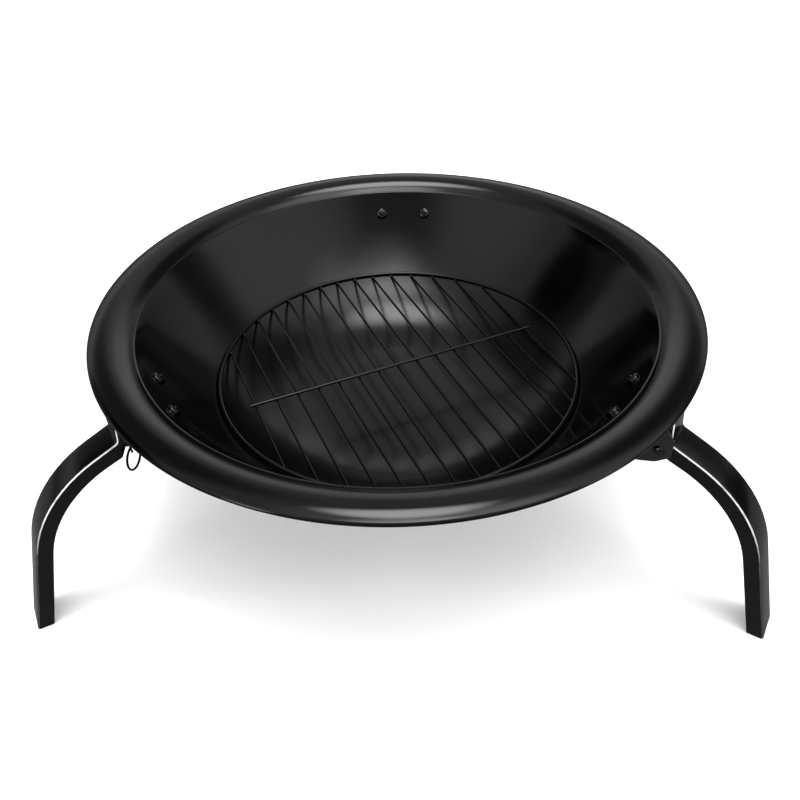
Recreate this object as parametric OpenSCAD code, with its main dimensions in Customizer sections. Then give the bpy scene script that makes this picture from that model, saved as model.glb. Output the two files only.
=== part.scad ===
// Portable fire pit: a pressed steel bowl on three folding legs, with a lift-off wire grate.
// Millimetres, +Z up. The origin is on the ground, under the axis of the bowl.
// Each leg stands in its own radial frame: X outward from the bowl's axis, Y along the
// tangent (counter-clockwise seen from above), Z up.

/* [Bowl] */
// Height of the bowl's flat floor above the ground, on its inside
floor_z = 110.8; // [100:0.1:120]
// Radius of the flat floor
floor_r = 83; // [70:1:90]
// Radius of the curve from the floor into the wall
lower_curve_r = 133; // [125:1:140]
// Slope of the wall where that curve ends, in degrees
lower_slope = 42.5; // [41:0.5:44]
// Radius of the nearly straight upper wall
upper_curve_r = 394; // [380:1:400]
// Slope of the wall at its top, in degrees
upper_slope = 57.5; // [56:0.5:59]
// Thickness of the bowl's sheet
sheet_t = 1.2; // [1:0.1:1.4]

/* [Rim] */
// Radius of the turned edge at the top of the wall
lip_r = 1.6; // [1.5:0.1:2]
// Slope of the narrow ledge outside that edge, in degrees
ledge_slope = 6; // [4:1:10]
// Radius of the hollow between the ledge and the rim's dome
hollow_r = 1; // [0.8:0.1:1.5]
// Slope of the dome where it leaves that hollow, in degrees
rim_inner_slope = 46; // [44:1:48]
// Radius of the rim's domed top
rim_dome_r = 31; // [30:0.5:32]
// Downward slope of the rim where its outer curl starts, in degrees
rim_outer_slope = 28; // [24:1:32]
// Outer radius of the curled edge
curl_r = 2.5; // [2.2:0.1:3]
// Angle through which the edge is curled under
curl_turn = 190; // [180:5:200]

/* [Grate] */
// Radius of the grate's ring, to the middle of its wire
ring_r = 176.1; // [175.5:0.1:176.5]
// Height of the ring's wire centre above the ground
ring_z = 152.2; // [152:0.1:153]
// Thickness of the ring's wire
ring_wire_d = 3.6; // [3.4:0.1:3.8]
// Thickness of the parallel wires
bar_wire_d = 2.4; // [2.2:0.1:2.6]
// Thickness of the cross wire
cross_wire_d = 3; // [2.6:0.1:3.2]
// Number of parallel wires
bar_count = 15; // [11:2:15]
// Distance between neighbouring parallel wires
bar_pitch = 21; // [20:0.1:21.5]
// Radius at which the parallel wires end
bar_end_r = 175.2; // [175:0.1:175.3]
// Length of the cross wire
cross_len = 304; // [300:1:310]
// Angle of the cross wire about Z, in degrees
grate_turn = 25.6; // [0:0.1:90]
// How deep a welded wire sinks into the one that it crosses
weld_sink = 0.4; // [0.2:0.1:0.5]

/* [Legs] */
// Width of a leg along the tangent
leg_w = 32; // [30:1:34]
// Depth of a leg across its side
leg_depth = 14; // [13:0.5:15]
// Thickness of a leg's sheet
leg_t = 1.5; // [1.2:0.1:2]
// Radius from the bowl's axis to the bend at the top of a leg
bend_r = 274.5; // [274:0.1:275]
// Height of that bend above the ground
bend_z = 183; // [182:0.5:184]
// Downward slope of the leg below the bend, in degrees
leg_top_slope = 24; // [22:1:26]
// Length of the straight stretch below the bend
leg_straight = 25; // [20:1:30]
// Radius of the leg's curve, on its outer face
leg_curve_r = 127; // [120:1:135]
// Downward slope of the lower leg, in degrees
leg_foot_slope = 74; // [70:1:78]
// Height of the stop tab's top above the ground
tab_top_z = 205; // [200:1:207]

/* [Hinges] */
// Radius from the bowl's axis to a leg's hinge pin
pin_r = 265.6; // [265.3:0.1:266]
// Height of the hinge pin above the ground
pin_z = 176; // [175.5:0.1:176.5]
// Thickness of the hinge pin
pin_d = 6; // [5.5:0.1:6]
// Outer diameter of the tube that carries the pin in the leg
barrel_d = 12; // [11:0.5:12.5]
// Radial clearance of the pin in the bracket's ear
pin_clearance = 0.05; // [0.03:0.01:0.1]
// Thickness of the bracket's sheet
bracket_t = 2.5; // [2:0.1:2.5]
// Sideways gap between the leg and the bracket's ear
side_gap = 0.5; // [0.4:0.1:0.8]
// Middle radius of a pull ring
pull_ring_r = 11; // [10.5:0.1:11.5]
// Thickness of a pull ring's wire
pull_wire_d = 2; // [1.8:0.1:2]
// Angle of a hanging pull ring away from the leg's own plane, in degrees
pull_ring_yaw = 51; // [45:1:51]

/* [Bolts] */
// Slope of the wall at the bolts, in degrees
bolt_slope = 54; // [53:0.5:55]
// Angle of each bolt from the middle of its bracket, in degrees
bolt_half_angle = 6.35; // [6:0.05:6.5]
// Diameter of a bolt's shank
bolt_d = 6; // [5:0.5:6]
// Diameter of a bolt's head
bolt_head_d = 12.5; // [12:0.1:13]
// Height of a bolt's head
bolt_head_h = 3.6; // [3:0.1:4]
// Width of a nut across its flats
nut_af = 10; // [9.5:0.5:10]
// Height of a nut
nut_h = 5; // [4.5:0.1:5.5]

/* [Hidden] */
SIDES = ["back", "left", "right"];
TURNS = [90, 210, 330];

// Steps in each curve of an outline, and sides of a turned solid and of a wire
STEPS = 12;
ROUND = 64;
WIRE_ROUND = 24;
// Small overrun that keeps a cut clear of the face it passes
CUT = 1;

// Bowl: each arc of its inside is a centre, a radius and two slopes.
lower_centre = [floor_r, floor_z + lower_curve_r];
lower_end = lower_centre + lower_curve_r * [sin(lower_slope), -cos(lower_slope)];
upper_centre = lower_end + upper_curve_r * [-sin(lower_slope), cos(lower_slope)];
upper_end = upper_centre + upper_curve_r * [sin(upper_slope), -cos(upper_slope)];
lip_centre = upper_end + lip_r * [sin(upper_slope), -cos(upper_slope)];
lip_end = lip_centre + lip_r * [-sin(ledge_slope), cos(ledge_slope)];
hollow_centre = lip_end + hollow_r * [-sin(ledge_slope), cos(ledge_slope)];
hollow_end = hollow_centre + hollow_r * [sin(rim_inner_slope), -cos(rim_inner_slope)];
dome_centre = hollow_end + rim_dome_r * [sin(rim_inner_slope), -cos(rim_inner_slope)];
dome_end = dome_centre + rim_dome_r * [sin(rim_outer_slope), cos(rim_outer_slope)];
curl_centre = dome_end - curl_r * [sin(rim_outer_slope), cos(rim_outer_slope)];

// Bracket: the flange lies on the bowl, and the ear stands beside the leg.
flange_gap = 0.15;
flange_t = bracket_t - 0.5;
flange_half_w = 36;
flange_low_z = 190;
flange_high_z = 216;
flange_start_r = 200;
flange_depth = 60;
ear_y = -leg_w / 2 - side_gap - bracket_t;
arm_y = leg_w / 2 + side_gap;
arm_start_r = 210;
arm_low_z = 198;
arm_high_z = 210;
stop_r = 257;
stop_gap = 0.4;
// The ear's outline: inside the wall, along its rising lower edge, up its outer edge and back.
ear_points = [
    [210, 212], [205, 176], [246, 157], [252, 158.5], [265, 163],
    [272.5, 169.5], [276, 171.5], [276, 192], [262, arm_high_z]
];

// Leg: the tab leans back above the bend, and the side walls' inner edge passes outside the pin's tube.
tab_lean = 2;
side_edge_points = [[274, 167], [259.4, 196], [stop_r + stop_gap, 198]];

// Hinge: the pin's end past the leg is a flat tab with a slot for the pull ring.
pin_radius = pin_d / 2;
barrel_gap = 0.2;
barrel_low_y = -leg_w / 2 + leg_t + barrel_gap;
barrel_high_y = 9;
barrel_fit = 0.02;
strap_t = 3;
strap_len = 34;
strap_back = 7;
strap_gap = 0.1;
pin_head_d = 10;
pin_head_h = 2.4;
pin_head_edge = 0.3;
pin_head_gap = 0.2;
tab_t = 1.6;
tab_start_y = 11.5;
tab_end_y = 22.8;
slot_y = 17.6;
slot_len = 7;
slot_h = 3.4;
ring_drop = 0.3;

// Bolts: the head is inside the bowl and the nut is outside.
bolt_hole_gap = 0.3;
bolt_hole_len = 12;
bolt_seat_gap = 0.12;
bolt_tail = 1.5;
bolt_rim_h = 1;
thread_gap = 0.05;
recess_len = 6;
recess_w = 1.3;
recess_depth = 1.6;
nut_seat_z = sheet_t + flange_gap + flange_t;
bolt_point = upper_centre + upper_curve_r * [sin(bolt_slope), -cos(bolt_slope)];

// Grate heights
bar_z = ring_z - ring_wire_d / 2 - bar_wire_d / 2 + weld_sink;
cross_z = bar_z + bar_wire_d / 2 + cross_wire_d / 2 - weld_sink;

// Points on an arc: centre c, radius r, from angle a to angle b, in degrees from +X.
function arc(c, r, a, b) = [
    for (i = [0 : STEPS])
        let (angle = a + (b - a) * i / STEPS)
            c + r * [cos(angle), sin(angle)]
];

// The bowl's outline a distance d under its inner face, from the axis to the curled edge.
function bowl_face(d) = concat(
    [[0, floor_z - d]],
    arc(lower_centre, lower_curve_r + d, -90, lower_slope - 90),
    arc(upper_centre, upper_curve_r + d, lower_slope - 90, upper_slope - 90),
    arc(lip_centre, lip_r - d, 90 + upper_slope, 90 + ledge_slope),
    arc(hollow_centre, hollow_r + d, ledge_slope - 90, rim_inner_slope - 90),
    arc(dome_centre, rim_dome_r - d, 90 + rim_inner_slope, 90 - rim_outer_slope),
    arc(curl_centre, curl_r - d, 90 - rim_outer_slope, 90 - rim_outer_slope - curl_turn)
);

function backwards(list) = [for (i = [len(list) - 1 : -1 : 0]) list[i]];

// The outer face of a leg, set in by d: from the bend down to the ground.
leg_arc_start = [bend_r, bend_z] + leg_straight * [cos(leg_top_slope), -sin(leg_top_slope)];
leg_arc_centre = leg_arc_start - leg_curve_r * [sin(leg_top_slope), cos(leg_top_slope)];
function leg_foot(d) =
    let (p = leg_arc_centre + (leg_curve_r - d) * [sin(leg_foot_slope), cos(leg_foot_slope)])
    [p[0] + p[1] / tan(leg_foot_slope), 0];
function leg_face(d) = concat(
    [[bend_r, bend_z] - d * [sin(leg_top_slope), cos(leg_top_slope)]],
    arc(leg_arc_centre, leg_curve_r - d, 90 - leg_top_slope, 90 - leg_foot_slope),
    [leg_foot(d)]
);

// Places its children in the frame of one leg.
module at_side(i) {
    rotate([0, 0, TURNS[i]]) children();
}

// Extrudes an outline drawn in the leg's X-Z plane from y0 to y1.
module slab(y0, y1) {
    translate([0, y1, 0]) rotate([90, 0, 0]) linear_extrude(y1 - y0) children();
}

// Places its children on a bolt's axis, with +Z pointing out of the bowl's wall.
module at_bolt(side) {
    rotate([0, 0, side * bolt_half_angle])
        translate([bolt_point[0], 0, bolt_point[1]])
            rotate([0, 180 - bolt_slope, 0])
                children();
}

// Everything inside the outer face of the bowl's wall, grown by d.
module bowl_volume(d) {
    rotate_extrude($fn = ROUND) polygon(concat(
        [[0, floor_z - sheet_t - d]],
        arc(lower_centre, lower_curve_r + sheet_t + d, -90, lower_slope - 90),
        arc(upper_centre, upper_curve_r + sheet_t + d, lower_slope - 90, upper_slope - 90),
        [[0, upper_end[1]]]
    ));
}

module bowl() {
    color([0.07, 0.07, 0.075]) difference() {
        rotate_extrude($fn = ROUND) polygon(concat(bowl_face(0), backwards(bowl_face(sheet_t))));
        for (i = [0 : len(SIDES) - 1], side = [-1, 1])
            at_side(i) at_bolt(side) bolt_hole();
    }
}

// A clearance hole for a bolt, along Z through the wall and what lies outside it.
module bolt_hole() {
    translate([0, 0, -bolt_hole_len / 2])
        cylinder(h = bolt_hole_len * 3 / 2, d = bolt_d + 2 * bolt_hole_gap, $fn = ROUND);
}

module grate_ring() {
    color([0.13, 0.13, 0.14]) translate([0, 0, ring_z])
        rotate_extrude($fn = ROUND) translate([ring_r, 0]) circle(d = ring_wire_d, $fn = WIRE_ROUND);
}

module grate_bars() {
    color([0.12, 0.12, 0.13]) rotate([0, 0, grate_turn])
        for (i = [0 : bar_count - 1]) {
            x = (i - (bar_count - 1) / 2) * bar_pitch;
            half = sqrt(bar_end_r * bar_end_r - x * x);
            translate([x, half, bar_z]) rotate([90, 0, 0])
                cylinder(h = 2 * half, d = bar_wire_d, $fn = WIRE_ROUND);
        }
}

module grate_cross_wire() {
    color([0.3, 0.3, 0.31]) rotate([0, 0, grate_turn])
        translate([-cross_len / 2, 0, cross_z]) rotate([0, 90, 0])
            cylinder(h = cross_len, d = cross_wire_d, $fn = WIRE_ROUND);
}

// The ear beside the leg, the arm on the leg's other side, the stop between them, and the flange.
module bracket(i) {
    color([0.08, 0.08, 0.085]) at_side(i) difference() {
        union() {
            slab(ear_y, ear_y + bracket_t) polygon(ear_points);
            slab(arm_y, arm_y + bracket_t) translate([arm_start_r, arm_low_z])
                square([stop_r - arm_start_r, arm_high_z - arm_low_z]);
            translate([stop_r - bracket_t, ear_y, arm_low_z])
                cube([bracket_t, arm_y + bracket_t - ear_y, arm_high_z - arm_low_z]);
            intersection() {
                bowl_volume(flange_gap + flange_t);
                translate([flange_start_r, -flange_half_w, flange_low_z])
                    cube([flange_depth, 2 * flange_half_w, flange_high_z - flange_low_z]);
            }
        }
        rotate([0, 0, -TURNS[i]]) bowl_volume(flange_gap);
        for (side = [-1, 1])
            at_bolt(side) bolt_hole();
        translate([pin_r, ear_y - CUT, pin_z]) rotate([-90, 0, 0])
            cylinder(h = bracket_t + 2 * CUT, r = pin_radius + pin_clearance, $fn = ROUND);
    }
}

// A domed head's outline: radius r, an upright edge of height e, and a dome of height h on it.
function head_outline(r, e, h) = concat(
    [[0, 0], [r, 0]],
    [for (i = [0 : STEPS]) [r * cos(90 * i / STEPS), e + h * sin(90 * i / STEPS)]]
);

// One bolt with a domed head and a cross recess, along +Z from the bowl's inner face.
module bolt() {
    difference() {
        union() {
            translate([0, 0, -bolt_seat_gap]) mirror([0, 0, 1]) rotate_extrude($fn = ROUND)
                polygon(head_outline(bolt_head_d / 2, bolt_rim_h, bolt_head_h - bolt_rim_h));
            translate([0, 0, -CUT])
                cylinder(h = CUT + nut_seat_z + nut_h + bolt_tail, d = bolt_d, $fn = ROUND);
        }
        for (turn = [0, 90]) rotate([0, 0, turn])
            translate([-recess_len / 2, -recess_w / 2, -bolt_head_h - bolt_seat_gap - CUT])
                cube([recess_len, recess_w, recess_depth + CUT]);
    }
}

module bolts(i) {
    color([0.2, 0.2, 0.21]) at_side(i) for (side = [-1, 1]) at_bolt(side) bolt();
}

module nuts(i) {
    color([0.55, 0.55, 0.56]) at_side(i) for (side = [-1, 1]) at_bolt(side)
        translate([0, 0, nut_seat_z + bolt_seat_gap]) difference() {
            cylinder(h = nut_h, d = nut_af / cos(30), $fn = 6);
            translate([0, 0, -CUT])
                cylinder(h = nut_h + 2 * CUT, r = bolt_d / 2 + thread_gap, $fn = ROUND);
        }
}

// The side wall of a leg, with the stop tab that stands up behind its bend.
module leg_side_outline() {
    polygon(concat(
        leg_face(0),
        backwards([for (i = [1 : STEPS + 2]) leg_face(leg_depth)[i]]),
        side_edge_points,
        [[stop_r + stop_gap, tab_top_z], [bend_r - tab_lean, tab_top_z]]
    ));
}

// The strip of sheet along a leg's outer face and up the tab.
module leg_face_outline() {
    polygon(concat(leg_face(0), backwards(leg_face(leg_t))));
    polygon([
        leg_face(0)[0], leg_face(leg_t)[0], [bend_r - leg_t, bend_z],
        [bend_r - tab_lean - leg_t, tab_top_z], [bend_r - tab_lean, tab_top_z]
    ]);
}

// The sheet folded across the foot.
module foot_outline() {
    up = leg_t * [-1 / tan(leg_foot_slope), 1];
    polygon([leg_foot(0), leg_foot(leg_depth), leg_foot(leg_depth) + up, leg_foot(0) + up]);
}

module leg(i) {
    color([0.07, 0.07, 0.075]) at_side(i) {
        slab(-leg_w / 2, leg_w / 2) leg_face_outline();
        slab(-leg_w / 2, leg_w / 2) foot_outline();
        slab(-leg_w / 2, -leg_w / 2 + leg_t) leg_side_outline();
        slab(leg_w / 2 - leg_t, leg_w / 2) leg_side_outline();
    }
}

// A strap inside the leg with a tube at its end, which holds the pin.
module leg_hinge(i) {
    strap_top = [bend_r, bend_z] - (leg_t + strap_gap) * [sin(leg_top_slope), cos(leg_top_slope)];
    color([0.1, 0.1, 0.105]) at_side(i) difference() {
        union() {
            slab(barrel_low_y, barrel_high_y) translate([pin_r, pin_z]) circle(d = barrel_d, $fn = ROUND);
            slab(barrel_low_y, barrel_high_y) translate(strap_top) rotate(-leg_top_slope)
                translate([-strap_back, -strap_t]) square([strap_len, strap_t]);
        }
        translate([pin_r, 0, pin_z]) rotate([90, 0, 0])
            cylinder(h = 2 * leg_w, r = pin_radius + barrel_fit, center = true, $fn = ROUND);
    }
}

module hinge_pin(i) {
    head_y = ear_y - pin_head_gap;
    tab_len = tab_end_y - tab_start_y + 2 * CUT;
    color([0.25, 0.25, 0.26]) at_side(i) translate([pin_r, 0, pin_z]) {
        difference() {
            translate([0, head_y - CUT, 0]) rotate([-90, 0, 0])
                cylinder(h = tab_end_y - head_y + CUT, r = pin_radius, $fn = ROUND);
            for (side = [-1, 1])
                translate([side * (tab_t / 2 + pin_radius), tab_start_y + tab_len / 2, 0])
                    cube([2 * pin_radius, tab_len, 3 * pin_radius], center = true);
            translate([0, slot_y, 0]) cube([3 * tab_t, slot_len, slot_h], center = true);
        }
        translate([0, head_y, 0]) rotate([90, 0, 0]) rotate_extrude($fn = ROUND)
            polygon(head_outline(pin_head_d / 2, pin_head_edge, pin_head_h - pin_head_edge));
    }
}

module pull_ring(i) {
    color([0.08, 0.08, 0.085]) at_side(i)
        translate([pin_r, slot_y, pin_z - ring_drop - pull_ring_r]) rotate([90, 0, pull_ring_yaw])
            rotate_extrude($fn = ROUND) translate([pull_ring_r, 0])
                circle(d = pull_wire_d, $fn = WIRE_ROUND);
}

bowl();
grate_ring();
grate_bars();
grate_cross_wire();
bracket(0);  // bracket_back
bracket(1);  // bracket_left
bracket(2);  // bracket_right
bolts(0);  // bolts_back
bolts(1);  // bolts_left
bolts(2);  // bolts_right
nuts(0);  // nuts_back
nuts(1);  // nuts_left
nuts(2);  // nuts_right
leg(0);  // leg_back
leg(1);  // leg_left
leg(2);  // leg_right
leg_hinge(0);  // leg_hinge_back
leg_hinge(1);  // leg_hinge_left
leg_hinge(2);  // leg_hinge_right
hinge_pin(0);  // hinge_pin_back
hinge_pin(1);  // hinge_pin_left
hinge_pin(2);  // hinge_pin_right
pull_ring(0);  // pull_ring_back
pull_ring(1);  // pull_ring_left
pull_ring(2);  // pull_ring_right
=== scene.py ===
from math import cos, pi, radians, sin, sqrt, tan

import bmesh
import bpy
from mathutils import Matrix, Vector


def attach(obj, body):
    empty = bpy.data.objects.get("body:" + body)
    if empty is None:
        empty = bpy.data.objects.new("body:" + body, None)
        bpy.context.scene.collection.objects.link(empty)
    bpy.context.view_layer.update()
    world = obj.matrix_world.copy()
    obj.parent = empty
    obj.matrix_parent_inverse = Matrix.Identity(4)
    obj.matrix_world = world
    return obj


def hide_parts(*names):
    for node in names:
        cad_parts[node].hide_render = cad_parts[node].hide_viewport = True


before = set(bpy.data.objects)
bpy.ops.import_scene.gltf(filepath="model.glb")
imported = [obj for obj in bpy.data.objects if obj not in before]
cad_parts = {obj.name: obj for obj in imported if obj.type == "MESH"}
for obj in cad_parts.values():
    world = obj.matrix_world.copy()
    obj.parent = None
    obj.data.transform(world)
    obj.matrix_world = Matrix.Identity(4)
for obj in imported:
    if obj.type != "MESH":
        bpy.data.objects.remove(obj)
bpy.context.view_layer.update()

# Sizes are in millimetres and angles in degrees. MM turns millimetres into metres. The main sizes are those
# of the part's source, except FLOOR_Z: it is 0.04 lower, so that the rim's top stays inside the CAD's box.
MM = 0.001
# The turn of each leg about the bowl's axis, from +X towards +Y
SIDES = {"back": 90, "left": 210, "right": 330}

# Bowl: the flat floor, then two arcs up the wall, each with its radius and the slope where it ends.
FLOOR_Z = 110.76
FLOOR_R, FLOOR_STEPS = 83, 6
LOWER_R, LOWER_SLOPE = 133, 42.5
UPPER_R, UPPER_SLOPE = 394, 57.5
SHEET = 1.2
# Rim: the turned edge, the narrow ledge, the hollow, the dome and the curled edge.
LIP_R, LEDGE_SLOPE = 1.6, 6
HOLLOW_R, DOME_IN_SLOPE = 1, 46
DOME_R, DOME_OUT_SLOPE = 31, 28
CURL_R, CURL_TURN = 2.5, 190
# The bowl's sides, and the angle between points on arcs of more than each radius
BOWL_SIDES = 240
BOWL_STEPS = {100: 1.2, 10: 2.5, 0: 12}

# Grate: the hoop, the bars under it and the cross wire on the bars. A dome is how far a bar's end stands out.
RING_R, RING_Z, RING_D = 176.1, 152.2, 3.6
RING_POINTS, RING_SIDES = 180, 20
BAR_COUNT, BAR_PITCH, BAR_D, BAR_END_R = 15, 21, 2.4, 175.2
BAR_DOME, BAR_HALF_STEPS, BAR_SIDES = 0.2, 6, 14
CROSS_LEN, CROSS_D = 304, 3
CROSS_HALF_STEPS, CROSS_SIDES = 8, 18
GRATE_TURN = 25.6
# Welds: how deep the wires sink into each other, and the beads.
WELD_SINK = 0.4
END_WELD_R, END_WELD_INSET, MIDDLE_WELD_R = 1.7, 1.5, 1.5
WELD_FLATNESS, WELD_SIDES = 0.55, 12
BAR_Z = RING_Z - RING_D / 2 - BAR_D / 2 + WELD_SINK
CROSS_Z = BAR_Z + BAR_D / 2 + CROSS_D / 2 - WELD_SINK
# The rings of a wire's domed end: how far out each stands and its radius, as shares of the dome and the wire.
END_RINGS = [(1, 0.45), (0.6, 0.85)]

# Legs: the outer face, from the bend behind the rim down to the ground.
LEG_W, LEG_DEPTH, LEG_T = 32, 14, 1.5
BEND_R, BEND_Z, BEND_LEN = 274.5, 183, 3
LEG_TOP_SLOPE, LEG_STRAIGHT = 24, 25
LEG_CURVE_R, LEG_FOOT_SLOPE = 127, 74
FOLD_R, FOLD_STEP = 2.6, 15
LEG_STEP, BEND_STEPS, STRAIGHT_STEPS = 4, 8, 4
# A pale highlight is painted where a fold's surface is more than this share of its radius from both of its
# ends.
HIGHLIGHT_FOLD = 0.45
# The tab above the bend, and the edge of the side walls: down the stop, out by a step, then to a corner. The
# share is how far along that last stretch the bend starts.
TAB_TOP_Z, TAB_LEAN = 205, 2
STOP_R, STOP_LOW_Z, STOP_TOP_Z = 257.4, 198, 210
EDGE_STEP, EDGE_CORNER, EDGE_SHARE = (259.4, 196), (274, 167), 0.3
# The sheet across the foot, and its gap from the channel
SOLE_GAP = 0.05

# Brackets: the ear, the stop's gap from the leg and the flange's gap from the bowl.
EAR_T, EAR_Y, EAR_LOW_Z, EAR_CORNER_R = 2.5, -19, 160, 2
EAR_OUTLINE = [(246, 157), (252, 158.5), (265, 163), (272.5, 169.5), (276, 171.5), (276, 192)]
EAR_TOP = (262, STOP_TOP_Z)
STOP_GAP = 0.4
FLANGE_GAP, FLANGE_T = 0.15, 2
FLANGE_HALF, FLANGE_LOW, FLANGE_HIGH = 36, 190, 216
FLANGE_HALF_STEPS, FLANGE_ROWS, WALL_STEPS = 8, 6, 8

# Hinges: the pin with its head and flat end, the tube round it and the strap inside the leg.
PIN_R, PIN_Z, PIN_D = 265.6, 176, 6
PIN_SIDES, PIN_GAP, PIN_CHAMFER = 48, 0.02, 0.4
PIN_HEAD_D, PIN_HEAD_H, PIN_HEAD_GAP, PIN_HEAD_EDGE = 10, 2.4, 0.2, 0.3
FLAT_START_Y, FLAT_END_Y, FLAT_HALF_H, FLAT_HALF_T = 11.5, 22.8, 2.85, 0.8
SLOT_HALF_LEN, SLOT_HALF_H = 3.5, 1.7
# A circle of this size, cut off at 1, gives the flat end and its slot their straight sides and round corners.
FLAT_CUT, SLOT_CUT, FLAT_POINTS = 1.25, 1.2, 32
BARREL_D, BARREL_LOW_Y, BARREL_HIGH_Y, BARREL_CHAMFER = 12, -14.3, 9, 0.5
STRAP_UP, STRAP_DOWN, STRAP_T, STRAP_GAP = 4, 27, 3, 0.1

# Pull rings
PULL_R, PULL_D, PULL_YAW = 11, 2, 51
PULL_Y, PULL_DROP = 17.6, 0.3
PULL_POINTS, PULL_SIDES = 72, 16

# Rounded corners: the steps round each one and the most of a side that it takes up.
CORNER_STEPS, CORNER_SHARE = 4, 0.45
# Rounding of stamped edges
BRACKET_EDGE, LEG_EDGE, HINGE_EDGE = 0.4, 0.35, 0.3
EDGE_SEGMENTS, EDGE_ANGLE = 2, 40

# Bolts: their place on the wall, the head with its cross recess, and the shank.
BOLT_SLOPE, BOLT_HALF_ANGLE = 54, 6.35
BOLT_D, BOLT_HEAD_D, BOLT_HEAD_H, BOLT_SEAT = 6, 12.5, 3.6, 0.12
HEAD_RINGS, HEAD_SIDES, HEAD_SIDE_H = 22, 72, 1
HEAD_CHAMFER_H, HEAD_CHAMFER_W = 0.15, 0.2
RECESS_ARM, RECESS_HALF_W, RECESS_EDGE, RECESS_DEPTH = 3, 0.65, 0.45, 1.5
SHANK_START, SHANK_PAST_NUT, SHANK_CHAMFER, SHANK_SIDES = -0.1, 1.4, 0.5, 32
THREAD_START, THREAD_PITCH, THREAD_DEPTH, THREAD_RUNOUT = 0.6, 1, 0.45, 0.1
# Nuts
NUT_AF, NUT_H, NUT_SIDES = 10, 5, 72
NUT_CHAMFER, NUT_CHAMFER_SLOPE = 0.15, 30
NUT_BORE_R, NUT_BORE_CHAMFER = 3.05, 0.5

# Camera: it looks at the middle of the rim, then is aimed off it and rolled. It is turned towards +X.
RIM_MIDDLE_Z = 230
CAMERA_DISTANCE, CAMERA_HEIGHT, CAMERA_TURN = 733.5, 32.373, 2.9
AIM_RIGHT, AIM_UP, CAMERA_ROLL = 0.081, -7.508, -1.673
SENSOR_W, LENS = 36, 34.89
CLIP_START, CLIP_END = 50, 50000

# Room, as the gloss shows it: its light overhead and at the horizon, and the height, as a sine, from which it
# is as bright as overhead. The glow lies under the horizon, down to GLOW_HEIGHT. BACKDROP is seen directly.
ROOM_LIGHT, HORIZON_LIGHT, ROOM_HEIGHT = 0.7, 0.14, 0.32
FLOOR_GLOW, GLOW_HEIGHT, BACKDROP = 0.3, -0.12, 1.0
# Soft round cards that darken the room and lamps that brighten it: azimuth from +Y towards +X, height above
# the horizon, the angles from the middle between which it fades out, and its strength.
ROOM_CARDS = [
    (-76, 31, 6, 14, 0.97), (-46, 42, 8, 26, 0.75), (-96, 10, 8, 20, 0.9), (-64, 23, 4, 12, 0.75),
    (41, 40, 6, 24, 0.75), (64, 23, 4, 14, 0.75), (80, 6, 8, 18, 0.9), (180, 42, 5, 26, 0.4),
]
ROOM_LAMPS = [
    (0, 82, 4, 16, 7.5), (178, 72, 4, 16, 3.2), (180, 80, 6, 30, 0.9), (170, 66, 2, 18, 1.1),
    (120, 68, 3, 20, 1.6), (105, 42, 10, 42, 0.6), (-130, 38, 5, 30, 0.4), (-135, 3, 3, 11, 8.0),
    (112, 4, 3, 12, 2.5), (0, 22, 4, 18, 0.5),
]
# Lamps for the floor, with their places in metres. The floor itself is a square of 2 x FLOOR_HALF metres.
FLOOR_LAMPS = {"left": (-2.5, -1.2, 1.6), "right": (2.5, -1.2, 1.6), "behind": (0, 2.8, 1.8)}
FLOOR_LAMP_SIZE, FLOOR_LAMP_POWER = 2, 60
FLOOR_HALF, FLOOR_ROUGHNESS, VIEW_GAMMA = 12, 0.9, 0.85

# Enamel: its orange peel, the greys of dust and of the legs' painted fold highlight, and the heights between
# which that highlight grows.
PEEL_DEPTH, FINE_PEEL_DEPTH = 0.03, 0.0024
DUST_GREY, HIGHLIGHT_GREY = 0.12, 0.6
HIGHLIGHT_LOW_Z, HIGHLIGHT_HIGH_Z, HIGHLIGHT_LEAST = 70, 150, 0.06
# How much rougher the bowl is in the dish, where ash lies, and on the wall. The first changes into the second
# from ASH_LOW_Z to ASH_HIGH_Z, and the second ends from RIM_LOW_Z to RIM_HIGH_Z.
ASH_DULLNESS, WALL_DULLNESS = 0.12, 0.06
ASH_LOW_Z, ASH_HIGH_Z = RING_Z - 8, RING_Z + 14
RIM_LOW_Z, RIM_HIGH_Z = 205, 222


# ---- materials ----

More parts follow.
